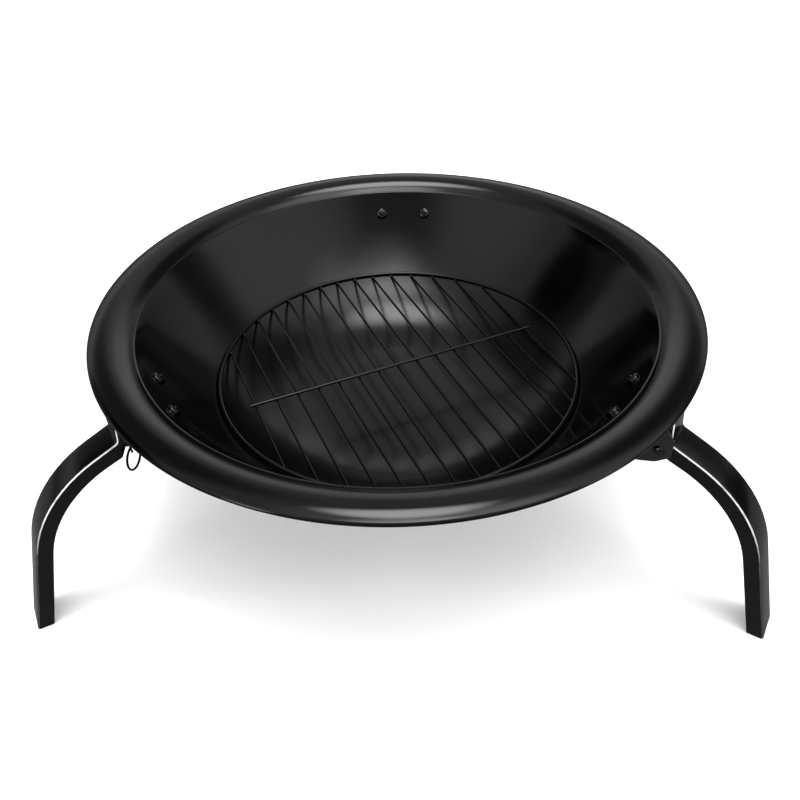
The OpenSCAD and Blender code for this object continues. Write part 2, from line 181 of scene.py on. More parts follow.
class Nodes:
    """A node tree, with short ways to add nodes and links."""

    def __init__(self, tree, coordinates="Object"):
        self.tree = tree
        self.place = self.add("ShaderNodeTexCoord").outputs[coordinates]

    def set_inputs(self, node, inputs):
        """Links or sets each of a node's inputs."""
        for key, value in inputs.items():
            if isinstance(value, bpy.types.NodeSocket):
                self.tree.links.new(value, node.inputs[key])
            else:
                node.inputs[key].default_value = value

    def add(self, kind, inputs=None, **settings):
        """A new node with those settings and inputs."""
        node = self.tree.nodes.new(kind)
        for key, value in settings.items():
            setattr(node, key, value)
        self.set_inputs(node, inputs or {})
        return node

    def noise(self, per_mm, detail=3, roughness=0.5, stretch=(1, 1, 1)):
        """Noise with a feature every 1 / per_mm millimetres, closer together where it is stretched."""
        place = self.place
        if stretch != (1, 1, 1):
            place = self.add("ShaderNodeMapping", {"Vector": place, "Scale": stretch}).outputs["Vector"]
        inputs = {"Vector": place, "Scale": per_mm / MM, "Detail": detail, "Roughness": roughness}
        return self.add("ShaderNodeTexNoise", inputs).outputs["Fac"]

    def span(self, value, low, high, to_low, to_high, way="LINEAR"):
        """value moved from low..high to to_low..to_high, and held there."""
        inputs = {"Value": value, "From Min": low, "From Max": high, "To Min": to_low, "To Max": to_high}
        return self.add("ShaderNodeMapRange", inputs, interpolation_type=way).outputs["Result"]

    def between(self, low_mm, high_mm, to_low, to_high):
        """A value that changes smoothly between two heights in millimetres."""
        height = self.add("ShaderNodeSeparateXYZ", {0: self.place}).outputs["Z"]
        return self.span(height, low_mm * MM, high_mm * MM, to_low, to_high, "SMOOTHSTEP")

    def maths(self, operation, a, b):
        """Two values added, multiplied and so on."""
        return self.add("ShaderNodeMath", {0: a, 1: b}, operation=operation).outputs[0]

    def blend(self, factor, a, b):
        """The colour a where factor is 0 and b where it is 1."""
        return self.add("ShaderNodeMix", {0: factor, 6: a, 7: b}, data_type="RGBA").outputs[2]

    def bump(self, height, depth_mm, below=None):
        """Bumps that deep, on top of the bumps below."""
        inputs = {"Height": height, "Distance": depth_mm * MM, "Strength": 1.0}
        if below is not None:
            inputs["Normal"] = below
        return self.add("ShaderNodeBump", inputs).outputs["Normal"]

    def along(self, direction):
        """The cosine of the angle between the place, as a direction, and that direction."""
        inputs = {0: self.place, 1: direction}
        return self.add("ShaderNodeVectorMath", inputs, operation="DOT_PRODUCT").outputs["Value"]

    def patch(self, azimuth, height, inner, outer):
        """1 within inner degrees of a direction, 0 beyond outer. Azimuth 0 is +Y and 90 is +X."""
        turn, rise = radians(azimuth), radians(height)
        cosine = self.along((sin(turn) * cos(rise), cos(turn) * cos(rise), sin(rise)))
        return self.span(cosine, cos(radians(outer)), cos(radians(inner)), 0, 1, "SMOOTHSTEP")


class Material(Nodes):
    """A material and its Principled shader."""

    def __init__(self, name):
        self.material = bpy.data.materials.new(name)
        self.material.use_nodes = True
        super().__init__(self.material.node_tree)

    def finish(self, colour, roughness, normal=None, metallic=0.0):
        """Gives the shader its inputs."""
        inputs = {"Base Color": colour, "Roughness": roughness, "Metallic": metallic}
        if normal is not None:
            inputs["Normal"] = normal
        self.set_inputs(self.tree.nodes["Principled BSDF"], inputs)
        return self.material


def grey(value, warm=0.0):
    """A grey, with a little more red and less blue where it is warm."""
    return (value * (1 + warm), value, value * (1 - warm), 1)


def painted_fold_highlight(n):
    """Painted highlight on the legs' folds: pale on the mesh's fold layer, in patches, brighter towards the
    leg's top.
    """
    line = n.span(n.add("ShaderNodeAttribute", attribute_name="painted_highlight_and_wear").outputs["Fac"], 0.85, 1, 0, 1)
    patches = n.span(n.noise(0.05, detail=4, roughness=0.65), 0.35, 0.5, 0.4, 1)
    rising = n.between(HIGHLIGHT_LOW_Z, HIGHLIGHT_HIGH_Z, HIGHLIGHT_LEAST, 1)
    return n.maths("MULTIPLY", n.maths("MULTIPLY", line, patches), rising)


def bowl_dullness(n):
    """How much rougher the bowl is at each height: most in the dish, less on the wall, none on the rim."""
    dull = n.between(ASH_LOW_Z, ASH_HIGH_Z, ASH_DULLNESS, WALL_DULLNESS)
    return n.maths("MULTIPLY", dull, n.between(RIM_LOW_Z, RIM_HIGH_Z, 1, 0))


def enamel(name, base, smooth, rough, in_bowl=False):
    """Black stoved enamel: a soft orange peel, thin dust, faint rubbed patches, a few fine scratches and a
    painted highlight on the legs' folds.
    """
    n = Material(name)
    cloud = n.noise(0.012, detail=4, roughness=0.6)
    dust = n.span(n.noise(0.9, detail=2, roughness=0.7), 0.66, 0.8, 0, 1)
    patch = n.span(cloud, 0.35, 0.7, 0, 1)
    scratch = n.span(n.noise(0.35, detail=1, roughness=0.4, stretch=(1, 14, 5)), 0.715, 0.75, 0, 1)
    colour = n.blend(patch, grey(base, 0.02), grey(base * 1.5, 0.01))
    colour = n.blend(n.maths("MULTIPLY", dust, 0.05), colour, grey(DUST_GREY, 0.04))
    # Painted highlight: a pale line on the middle of each leg fold, standing in for the light that the fold
    # catches.
    colour = n.blend(painted_fold_highlight(n), colour, grey(HIGHLIGHT_GREY, 0.03))
    roughness = n.span(cloud, 0.3, 0.75, smooth, rough)
    roughness = n.maths("ADD", roughness, n.maths("MULTIPLY", scratch, 0.05))
    if in_bowl:
        roughness = n.maths("ADD", roughness, bowl_dullness(n))
    roughness = n.maths("ADD", roughness, n.maths("MULTIPLY", dust, 0.04))
    normal = n.bump(n.noise(0.09, detail=2, roughness=0.5), PEEL_DEPTH)
    normal = n.bump(n.noise(0.45, detail=2, roughness=0.5), FINE_PEEL_DEPTH, normal)
    return n.finish(colour, roughness, normal)


def wire_paint(name, base, rough):
    """Black gloss paint on drawn wire, with faint drawing lines and dust."""
    n = Material(name)
    patch = n.span(n.noise(0.05, detail=3, roughness=0.6), 0.3, 0.7, 0, 1)
    grain = n.noise(0.8, detail=2, roughness=0.6)
    colour = n.blend(patch, grey(base), grey(base * 1.8, 0.02))
    roughness = n.span(grain, 0.3, 0.7, rough - 0.06, rough + 0.1)
    return n.finish(colour, roughness, n.bump(grain, 0.04))


def dark_steel(name, base, rough):
    """Blackened steel of the bolts, pins and rings: worn a little brighter in patches."""
    n = Material(name)
    # Brighter patches where the steel is worn.
    painted_highlight_and_wear = n.span(n.noise(0.25, detail=4, roughness=0.65), 0.5, 0.72, 0, 1)
    grain = n.noise(1.5, detail=2, roughness=0.5)
    colour = n.blend(painted_highlight_and_wear, grey(base), grey(base * 2.4, 0.03))
    roughness = n.span(grain, 0.3, 0.7, rough - 0.05, rough + 0.08)
    return n.finish(colour, roughness, n.bump(grain, 0.02), metallic=1.0)


def zinc(name):
    """Bright zinc plating with a faint spangle."""
    n = Material(name)
    cells = n.add("ShaderNodeTexVoronoi", {"Vector": n.place, "Scale": 0.6 / MM}).outputs["Distance"]
    colour = n.blend(cells, (0.50, 0.51, 0.53, 1), (0.66, 0.66, 0.65, 1))
    roughness = n.span(n.noise(0.6, detail=3, roughness=0.6), 0.3, 0.7, 0.28, 0.42)
    return n.finish(colour, roughness, n.bump(cells, 0.01), metallic=1.0)


LOOKS = {
    "bowl_enamel": enamel("bowl_enamel", base=0.0008, smooth=0.05, rough=0.1, in_bowl=True),
    "leg_paint": enamel("leg_paint", base=0.003, smooth=0.06, rough=0.12),
    # The brackets' black paint is paler than the legs' as painted reflection, standing in for the grey that
    # their flat ears reflect.
    "bracket_paint": enamel("bracket_paint", base=0.018, smooth=0.14, rough=0.22),
    "grate_steel": wire_paint("grate_steel", base=0.001, rough=0.1),
    "bolt_steel": dark_steel("bolt_steel", base=0.045, rough=0.06),
    "pin_steel": dark_steel("pin_steel", base=0.06, rough=0.14),
    "ring_steel": dark_steel("ring_steel", base=0.015, rough=0.26),
    "nut_steel": zinc("nut_steel"),
}


# ---- mesh helpers ----

def finish_mesh(bm, name, look, body, node, sharp=40):
    """Turns a bmesh in millimetres into a named piece that stands for a CAD node and rides on a body.

    Edges that turn by more than the angle sharp stay sharp.
    """
    bmesh.ops.scale(bm, vec=(MM, MM, MM), verts=bm.verts)
    bmesh.ops.recalc_face_normals(bm, faces=bm.faces)
    for edge in bm.edges:
        edge.smooth = len(edge.link_faces) != 2 or edge.calc_face_angle(0) < radians(sharp)
    mesh = bpy.data.meshes.new(name)
    bm.to_mesh(mesh)
    bm.free()
    mesh.polygons.foreach_set("use_smooth", [True] * len(mesh.polygons))
    mesh.materials.append(LOOKS[look])
    piece = bpy.data.objects.new(name, mesh)
    bpy.context.scene.collection.objects.link(piece)
    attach(piece, body)
    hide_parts(node)
    return piece


def soften(piece, width):
    """Rounds the piece's sharp edges a little, as stamping and paint do."""
    bevel = piece.modifiers.new("edges", "BEVEL")
    bevel.width = width * MM
    bevel.segments = EDGE_SEGMENTS
    bevel.limit_method = "ANGLE"
    bevel.angle_limit = radians(EDGE_ANGLE)


def circle_angles(count):
    """That many angles, in radians, evenly round a circle."""
    return [2 * pi * k / count for k in range(count)]


def mix(a, b, t):
    """The point at share t of the way from a to b."""
    return tuple(x + (y - x) * t for x, y in zip(a, b))


def quadratic(a, b, c, t):
    """The point at t on the curve that leaves a towards b and arrives at c from b."""
    return mix(mix(a, b, t), mix(b, c, t), t)


def arc(centre, radius, start, end, step):
    """Points on an arc, angles in degrees, about step degrees apart."""
    count = max(2, round(abs(end - start) / step))
    angles = [radians(start + (end - start) * i / count) for i in range(count + 1)]
    return [(centre[0] + radius * cos(a), centre[1] + radius * sin(a)) for a in angles]


def join_rings(bm, pairs):
    """Faces between the rings of each pair, which have as many vertices as each other."""
    for a, b in pairs:
        count = len(a)
        for k in range(count):
            corners = [a[k], a[(k + 1) % count], b[(k + 1) % count], b[k]]
            face = [c for i, c in enumerate(corners) if c not in corners[:i]]
            if len(face) > 2:
                bm.faces.new(face)


def add_tube(bm, points, radius, sides, closed=False, dome=0.0):
    """A round wire along points. An open one ends in small domes that stand out that far."""
    points = [Vector(p) for p in points]
    count = len(points)
    rings = []

    def ring(at, along, across, size):
        up = along.cross(across).normalized()
        return [bm.verts.new(at + size * (across * cos(a) + up * sin(a))) for a in circle_angles(sides)]

    across = None
    for i, at in enumerate(points):
        before = points[i - 1] if closed or i else at
        after = points[(i + 1) % count] if closed or i + 1 < count else at
        along = (after - before).normalized()
        if across is None:
            across = along.orthogonal().normalized()
        across = (across - along * across.dot(along)).normalized()
        if not closed and i == 0:
            for out, size in END_RINGS:
                rings.append(ring(at - along * dome * out, along, across, radius * size))
        rings.append(ring(at, along, across, radius))
        if not closed and i == count - 1:
            for out, size in reversed(END_RINGS):
                rings.append(ring(at + along * dome * out, along, across, radius * size))
    join_rings(bm, zip(rings, rings[1:] + rings[:1] if closed else rings[1:]))
    if not closed:
        bm.faces.new(rings[0])
        bm.faces.new(reversed(rings[-1]))


def add_revolve(bm, profile, sides, place=Matrix.Identity(4), closed=False):
    """The profile's (r, z) points turned about Z, then moved by place. A point on the axis is one vertex."""
    rings = []
    for r, z in profile:
        if r < 1e-6:
            rings.append([bm.verts.new(place @ Vector((0, 0, z)))] * sides)
        else:
            spots = [Vector((r * cos(a), r * sin(a), z)) for a in circle_angles(sides)]
            rings.append([bm.verts.new(place @ spot) for spot in spots])
    join_rings(bm, zip(rings, rings[1:] + rings[:1] if closed else rings[1:]))


def add_slab(bm, outline, y0, y1, place):
    """A closed outline in the X-Z plane, extruded from y0 to y1."""
    near = [bm.verts.new(place @ Vector((x, y0, z))) for x, z in outline]
    far = [bm.verts.new(place @ Vector((x, y1, z))) for x, z in outline]
    join_rings(bm, [(near, far)])
    bm.faces.new(reversed(near))
    bm.faces.new(far)


def at_side(turn):
    """The frame of one leg: X outward from the bowl's axis, Y along the tangent, Z up."""
    return Matrix.Rotation(radians(turn), 4, "Z")


def at_pin(turn):
    """The frame of a hinge pin: its middle at the origin and +Z along it."""
    return at_side(turn) @ Matrix.Translation((PIN_R, 0, PIN_Z)) @ Matrix.Rotation(radians(-90), 4, "X")


# ---- bowl ----

def step_along(centre, radius, angle):
    """The point at that slope on an arc that curves upward, its centre above it."""
    return (centre[0] + radius * sin(radians(angle)), centre[1] - radius * cos(radians(angle)))


def bowl_arcs():
    """The arcs of the bowl's inner face: centre, radius, first angle, last angle and bulge.

    The bulge is 1 where an arc's middle stands up and -1 where it hangs down.
    """
    lower = (FLOOR_R, FLOOR_Z + LOWER_R)
    corner = step_along(lower, LOWER_R, LOWER_SLOPE)
    upper = step_along(corner, -UPPER_R, LOWER_SLOPE)
    top = step_along(upper, UPPER_R, UPPER_SLOPE)
    lip = step_along(top, LIP_R, UPPER_SLOPE)
    ledge = step_along(lip, -LIP_R, LEDGE_SLOPE)
    hollow = step_along(ledge, -HOLLOW_R, LEDGE_SLOPE)
    foot = step_along(hollow, HOLLOW_R, DOME_IN_SLOPE)
    dome = step_along(foot, DOME_R, DOME_IN_SLOPE)
    brink = step_along(dome, -DOME_R, -DOME_OUT_SLOPE)
    curl = step_along(brink, CURL_R, -DOME_OUT_SLOPE)
    return [
        (lower, LOWER_R, -90, LOWER_SLOPE - 90, -1),
        (upper, UPPER_R, LOWER_SLOPE - 90, UPPER_SLOPE - 90, -1),
        (lip, LIP_R, 90 + UPPER_SLOPE, 90 + LEDGE_SLOPE, 1),
        (hollow, HOLLOW_R, LEDGE_SLOPE - 90, DOME_IN_SLOPE - 90, -1),
        (dome, DOME_R, 90 + DOME_IN_SLOPE, 90 - DOME_OUT_SLOPE, 1),
        (curl, CURL_R, 90 - DOME_OUT_SLOPE, 90 - DOME_OUT_SLOPE - CURL_TURN, 1),
    ]


def bowl_face(depth):
    """The bowl's outline at that depth under its inner face."""
    points = [(FLOOR_R * k / FLOOR_STEPS, FLOOR_Z - depth) for k in range(FLOOR_STEPS + 1)]
    for centre, radius, start, end, bulge in bowl_arcs():
        step = next(angle for least, angle in BOWL_STEPS.items() if radius > least)
        points += arc(centre, radius - bulge * depth, start, end, step)[1:]
    return points


def wall_radius(z, depth):
    """The bowl's radius at that height, on the surface that lies depth outside its inner face."""
    centre, radius = bowl_arcs()[1][:2]
    return centre[0] + sqrt((radius + depth) ** 2 - (centre[1] - z) ** 2)


def make_bowl():
    """One sheet from the middle of the floor to the curled edge."""
    bm = bmesh.new()
    add_revolve(bm, bowl_face(0) + bowl_face(SHEET)[::-1], BOWL_SIDES)
    finish_mesh(bm, "bowl_shell", "bowl_enamel", "bowl_body", "bowl")


# ---- grate ----

def make_hoop():
    """The round wire that rests on the bowl's wall."""
    bm = bmesh.new()
    points = [(RING_R * cos(a), RING_R * sin(a), RING_Z) for a in circle_angles(RING_POINTS)]
    add_tube(bm, points, RING_D / 2, RING_SIDES, closed=True)
    finish_mesh(bm, "grate_hoop", "grate_steel", "grate", "grate_ring")


def make_bars(turn):
    """The parallel wires, with the welds at their ends and under the cross wire."""
    bm = bmesh.new()
    steps = range(-BAR_HALF_STEPS, BAR_HALF_STEPS + 1)
    for i in range(BAR_COUNT):
        x = (i - (BAR_COUNT - 1) / 2) * BAR_PITCH
        half = sqrt(BAR_END_R ** 2 - x ** 2)
        points = [turn @ Vector((x, half * k / BAR_HALF_STEPS, BAR_Z)) for k in steps]
        add_tube(bm, points, BAR_D / 2, BAR_SIDES, dome=BAR_DOME)
        for end in (-1, 1):
            add_weld(bm, turn @ Vector((x, end * (half - END_WELD_INSET), BAR_Z + BAR_D / 2)), END_WELD_R)
        add_weld(bm, turn @ Vector((x, 0, BAR_Z + BAR_D / 2)), MIDDLE_WELD_R)
    finish_mesh(bm, "grate_wires", "grate_steel", "grate", "grate_bars")


def add_weld(bm, at, size):
    """A small flattened bead where two wires are welded."""
    place = Matrix.Translation(at) @ Matrix.Diagonal((1, 1, WELD_FLATNESS, 1))
    side = [(size * cos(radians(a)), size * sin(radians(a))) for a in range(-60, 61, 30)]
    add_revolve(bm, [(0, -size)] + side + [(0, size)], WELD_SIDES, place)


def make_cross_wire(turn):
    """The one wire across the middle of the bars."""
    bm = bmesh.new()
    steps = range(-CROSS_HALF_STEPS, CROSS_HALF_STEPS + 1)
    points = [turn @ Vector((CROSS_LEN / 2 * k / CROSS_HALF_STEPS, 0, CROSS_Z)) for k in steps]
    add_tube(bm, points, CROSS_D / 2, CROSS_SIDES)
    finish_mesh(bm, "grate_cross", "grate_steel", "grate", "grate_cross_wire")


# ---- legs ----

def leg_face(depth):
    """The leg's outer face, set in by depth: points in the leg's X-Z plane from the bend to the ground."""
    top, foot = radians(LEG_TOP_SLOPE), radians(LEG_FOOT_SLOPE)
    start = (BEND_R + LEG_STRAIGHT * cos(top), BEND_Z - LEG_STRAIGHT * sin(top))
    centre = (start[0] - LEG_CURVE_R * sin(top), start[1] - LEG_CURVE_R * cos(top))
    bend = (BEND_R - depth * sin(top), BEND_Z - depth * cos(top))
    points = arc(centre, LEG_CURVE_R - depth, 90 - LEG_TOP_SLOPE, 90 - LEG_FOOT_SLOPE, LEG_STEP)
    last = points[-1]
    ground = (last[0] + last[1] / tan(foot), 0)
    return [bend] + points + [ground]


def leg_path():
    """The leg's outer skin and the edges of its side walls: matching points from the tab to the ground."""
    top = radians(LEG_TOP_SLOPE)
    tab_top, bend = (BEND_R - TAB_LEAN, TAB_TOP_Z), (BEND_R, BEND_Z)
    outside, inside = leg_face(0), leg_face(LEG_DEPTH)
    bend_end = (BEND_R + BEND_LEN * cos(top), BEND_Z - BEND_LEN * sin(top))
    bend_start = mix(tab_top, bend, 1 - BEND_LEN / (TAB_TOP_Z - BEND_Z))
    edge = [(STOP_R, TAB_TOP_Z), (STOP_R, STOP_LOW_Z), EDGE_STEP, mix(EDGE_STEP, EDGE_CORNER, EDGE_SHARE)]
    skin = [mix(tab_top, bend_start, k / (len(edge) - 1)) for k in range(len(edge))]
    bend_edge = edge[-1]
    for k in range(1, BEND_STEPS + 1):
        skin.append(quadratic(bend_start, bend, bend_end, k / BEND_STEPS))
        edge.append(mix(bend_edge, EDGE_CORNER, k / BEND_STEPS))
    for k in range(1, STRAIGHT_STEPS):
        skin.append(mix(bend_end, outside[1], k / STRAIGHT_STEPS))
        edge.append(mix(EDGE_CORNER, inside[1], k / STRAIGHT_STEPS))
    return skin + outside[1:], edge + inside[1:]


def channel_section():
    """The leg's U section: (across, depth) pairs round both skins. Depth None is the wall's edge."""
    half, thin = LEG_W / 2, FOLD_R - LEG_T
    outer = arc((half - FOLD_R, FOLD_R), FOLD_R, -90, 0, FOLD_STEP) + [(half, None)]
    inner = [(half - LEG_T, None)] + arc((half - FOLD_R, FOLD_R), thin, 0, -90, FOLD_STEP)
    right = [(0, 0)] + outer + inner + [(0, LEG_T)]
    left = [(-y, d) for y, d in reversed(right[1:-1])]
    return right + left


def in_painted_highlight(across, depth):
    """Whether that point of the section is on the middle of a fold, where a pale highlight is painted."""
    if depth is None:
        return False
    from_ends = (abs(across) - (LEG_W / 2 - FOLD_R), FOLD_R - depth)
    return min(from_ends) > HIGHLIGHT_FOLD * FOLD_R


def close_channel(bm, ring):
    """Faces across the end of the channel, between its outer and its inner skin."""
    count = len(ring)
    for k in range(count // 2):
        quad = [ring[k], ring[k + 1], ring[count - k - 1], ring[(count - k) % count]]
        corners = [v for i, v in enumerate(quad) if v not in quad[:i]]
        if len(corners) > 2:
            bm.faces.new(corners)


def add_sole(bm, place):
    """The sheet across the leg's foot."""
    outer, inner = leg_face(LEG_T + SOLE_GAP)[-1], leg_face(LEG_DEPTH)[-1]
    lean = LEG_T / tan(radians(LEG_FOOT_SLOPE))
    sole = [outer, inner, (inner[0] - lean, LEG_T), (outer[0] - lean, LEG_T)]
    half = LEG_W / 2 - LEG_T - SOLE_GAP
    add_slab(bm, sole, -half, half, place)


def make_leg(side, turn):
    """The leg's channel, swept from its tab to the ground with rounded folds, and the sheet at its foot."""
    place = at_side(turn)
    section = channel_section()
    bm = bmesh.new()
    # The layer marks the middle of each fold, where the leg's paint gets a pale painted highlight.
    painted_highlight_and_wear = bm.verts.layers.float.new("painted_highlight_and_wear")
    rings = []
    for skin, edge in zip(*leg_path()):
        width = sqrt((edge[0] - skin[0]) ** 2 + (edge[1] - skin[1]) ** 2)
        ring = []
        for y, depth in section:
            x, z = edge if depth is None else mix(skin, edge, depth / width)
            ring.append(bm.verts.new(place @ Vector((x, y, z))))
            ring[-1][painted_highlight_and_wear] = in_painted_highlight(y, depth)
        rings.append(ring)
    join_rings(bm, zip(rings, rings[1:]))
    close_channel(bm, rings[0])
    close_channel(bm, rings[-1])
    add_sole(bm, place)
    name, body = f"leg_channel_{side}", f"leg_body_{side}"
    soften(finish_mesh(bm, name, "leg_paint", body, f"leg_{side}", sharp=30), LEG_EDGE)


# ---- brackets ----

def add_flange(bm, place):
    """The curved plate that lies against the outside of the bowl's wall."""
    across = [FLANGE_HALF * k / FLANGE_HALF_STEPS for k in range(-FLANGE_HALF_STEPS, FLANGE_HALF_STEPS + 1)]
    heights = [FLANGE_LOW + (FLANGE_HIGH - FLANGE_LOW) * k / FLANGE_ROWS for k in range(FLANGE_ROWS + 1)]
    rows, columns = len(heights), len(across)
    skins = []
    for depth in (SHEET + FLANGE_GAP, SHEET + FLANGE_GAP + FLANGE_T):
        skin = []
        for z in heights:
            spots = [Vector((sqrt(wall_radius(z, depth) ** 2 - y ** 2), y, z)) for y in across]
            skin.append([bm.verts.new(place @ spot) for spot in spots])
        for low, high in zip(skin, skin[1:]):
            for j in range(columns - 1):
                bm.faces.new((low[j], low[j + 1], high[j + 1], high[j]))
        skins.append(skin)
    border = [(0, j) for j in range(columns)] + [(i, columns - 1) for i in range(1, rows)]
    border += [(rows - 1, j) for j in range(columns - 2, -1, -1)] + [(i, 0) for i in range(rows - 2, 0, -1)]
    join_rings(bm, [[[skin[i][j] for i, j in border] for skin in skins]])


def against_wall(outline, low, high):
    """An outline, closed by a stretch that follows the outside of the bowl's wall from low to high."""
    heights = [low + (high - low) * k / WALL_STEPS for k in range(WALL_STEPS + 1)]
    return [(wall_radius(z, SHEET + FLANGE_GAP), z) for z in heights] + outline


def round_corners(points, radius):
    """A closed outline with its corners rounded by a curve that starts radius before each one."""
    rounded = []
    for before, at, after in zip(points[-1:] + points[:-1], points, points[1:] + points[:1]):
        lengths = [sqrt((p[0] - at[0]) ** 2 + (p[1] - at[1]) ** 2) for p in (before, after)]
        cut = [min(radius, CORNER_SHARE * length) / length for length in lengths]
        start, end = mix(at, before, cut[0]), mix(at, after, cut[1])
        rounded += [quadratic(start, at, end, k / CORNER_STEPS) for k in range(CORNER_STEPS + 1)]
    return rounded


def make_bracket(side, turn):
    """The ear beside the leg, the arm and stop plate behind it, and the flange that is bolted to the bowl."""
    place = at_side(turn)
    bm = bmesh.new()
    add_flange(bm, place)
    # The first corner touches the wall, so only the end of its curve is kept.
    ear = against_wall(round_corners(EAR_OUTLINE, EAR_CORNER_R)[3:] + [EAR_TOP], STOP_TOP_Z, EAR_LOW_Z)
    add_slab(bm, ear, EAR_Y, EAR_Y + EAR_T, place)
    front, back = STOP_R - STOP_GAP, STOP_R - STOP_GAP - EAR_T
    arm = against_wall([(front, STOP_LOW_Z), (front, STOP_TOP_Z)], STOP_TOP_Z, STOP_LOW_Z)
    add_slab(bm, arm, -EAR_Y - EAR_T, -EAR_Y, place)
    stop = [(back, STOP_LOW_Z), (front, STOP_LOW_Z), (front, STOP_TOP_Z), (back, STOP_TOP_Z)]
    add_slab(bm, stop, EAR_Y + EAR_T, -EAR_Y - EAR_T, place)
    name = f"bracket_plate_{side}"
    soften(finish_mesh(bm, name, "bracket_paint", "bowl_body", f"bracket_{side}", sharp=30), BRACKET_EDGE)


# ---- hinges, pins and pull rings ----

def add_barrel(bm, turn):
    """The tube round the pin, with chamfered ends."""
    bore, wall = PIN_D / 2 + PIN_GAP, BARREL_D / 2
    low, high = BARREL_LOW_Y, BARREL_HIGH_Y
    outer = [(wall - BARREL_CHAMFER, low), (wall, low + BARREL_CHAMFER)]
    outer += [(wall, high - BARREL_CHAMFER), (wall - BARREL_CHAMFER, high)]
    add_revolve(bm, [(bore, low)] + outer + [(bore, high)], PIN_SIDES, at_pin(turn), closed=True)


def add_strap(bm, turn):
    """The flat strap that holds the tube inside the leg, along the leg's straight stretch."""
    run, fall = cos(radians(LEG_TOP_SLOPE)), sin(radians(LEG_TOP_SLOPE))
    depth = LEG_T + STRAP_GAP
    start = (BEND_R - depth * fall, BEND_Z - depth * run)
    corners = [(-STRAP_UP, 0), (STRAP_DOWN, 0), (STRAP_DOWN, -STRAP_T), (-STRAP_UP, -STRAP_T)]
    strap = [(start[0] + x * run + z * fall, start[1] - x * fall + z * run) for x, z in corners]
    add_slab(bm, strap, BARREL_LOW_Y, BARREL_HIGH_Y, at_side(turn))


def make_hinge(side, turn):
    """The tube that carries the pin and the strap that holds it inside the leg."""
    bm = bmesh.new()
    add_barrel(bm, turn)
    add_strap(bm, turn)
    name, body = f"hinge_tube_{side}", f"leg_body_{side}"
    soften(finish_mesh(bm, name, "leg_paint", body, f"leg_hinge_{side}", sharp=30), HINGE_EDGE)


def make_pin(side, turn):
    """The hinge pin: a domed head, a round shaft and a flat slotted end."""
    head_y, head_r, radius = EAR_Y - PIN_HEAD_GAP, PIN_HEAD_D / 2, PIN_D / 2
    outline = [(head_r * sin(radians(a)), head_y - PIN_HEAD_H * cos(radians(a))) for a in range(0, 91, 6)]
    outline += [(head_r - PIN_HEAD_EDGE, head_y), (radius, head_y), (radius, FLAT_START_Y - PIN_CHAMFER)]
    outline += [(radius - PIN_CHAMFER, FLAT_START_Y), (0, FLAT_START_Y)]
    bm = bmesh.new()
    add_revolve(bm, outline, PIN_SIDES, at_pin(turn))
    add_flat_end(bm, at_side(turn) @ Matrix.Translation((PIN_R, 0, PIN_Z)))
    finish_mesh(bm, f"hinge_pin_{side}_shown", "pin_steel", f"leg_body_{side}", f"hinge_pin_{side}", sharp=35)


def cut_circle(middle, half_y, half_z, cut):
    """An ellipse made larger by cut, then cut off at half_y and half_z: straight sides with round corners."""
    def held(value):
        return max(-1, min(1, value))

    angles = circle_angles(FLAT_POINTS)
    return [(middle + half_y * held(cut * cos(a)), half_z * held(cut * sin(a))) for a in angles]


def add_flat_end(bm, place):
    """The pin's flat end, with the slot that its ring hangs in."""
    middle, half = (FLAT_START_Y + FLAT_END_Y) / 2, (FLAT_END_Y - FLAT_START_Y) / 2
    outer = cut_circle(middle, half, FLAT_HALF_H, FLAT_CUT)
    slot = cut_circle(PULL_Y, SLOT_HALF_LEN, SLOT_HALF_H, SLOT_CUT)
    loops = [[bm.verts.new(place @ Vector((x, y, z))) for y, z in loop]
             for x in (-FLAT_HALF_T, FLAT_HALF_T) for loop in (outer, slot)]
    join_rings(bm, [(loops[a], loops[b]) for a, b in ((0, 1), (2, 3), (0, 2), (1, 3))])


def make_pull_ring(side, turn):
    """The wire ring that hangs in the slot of the pin, turned as in the photograph."""
    place = at_side(turn) @ Matrix.Translation((PIN_R, PULL_Y, PIN_Z - PULL_DROP - PULL_R))
    flat = place @ Matrix.Rotation(radians(PULL_YAW), 4, "Z") @ Matrix.Rotation(radians(90), 4, "X")
    points = [flat @ Vector((PULL_R * cos(a), PULL_R * sin(a), 0)) for a in circle_angles(PULL_POINTS)]
    bm = bmesh.new()
    add_tube(bm, points, PULL_D / 2, PULL_SIDES, closed=True)
    finish_mesh(bm, f"pull_ring_{side}_shown", "ring_steel", f"ring_body_{side}", f"pull_ring_{side}")


# ---- bolts and nuts ----

def at_bolt(turn, half):
    """The frame of a bolt: its origin on the bowl's inner face and +Z out through the wall."""
    centre, radius = bowl_arcs()[1][:2]
    at = step_along(centre, radius, BOLT_SLOPE)
    slant = Matrix.Translation((at[0], 0, at[1])) @ Matrix.Rotation(radians(180 - BOLT_SLOPE), 4, "Y")
    return at_side(turn + half * BOLT_HALF_ANGLE) @ slant


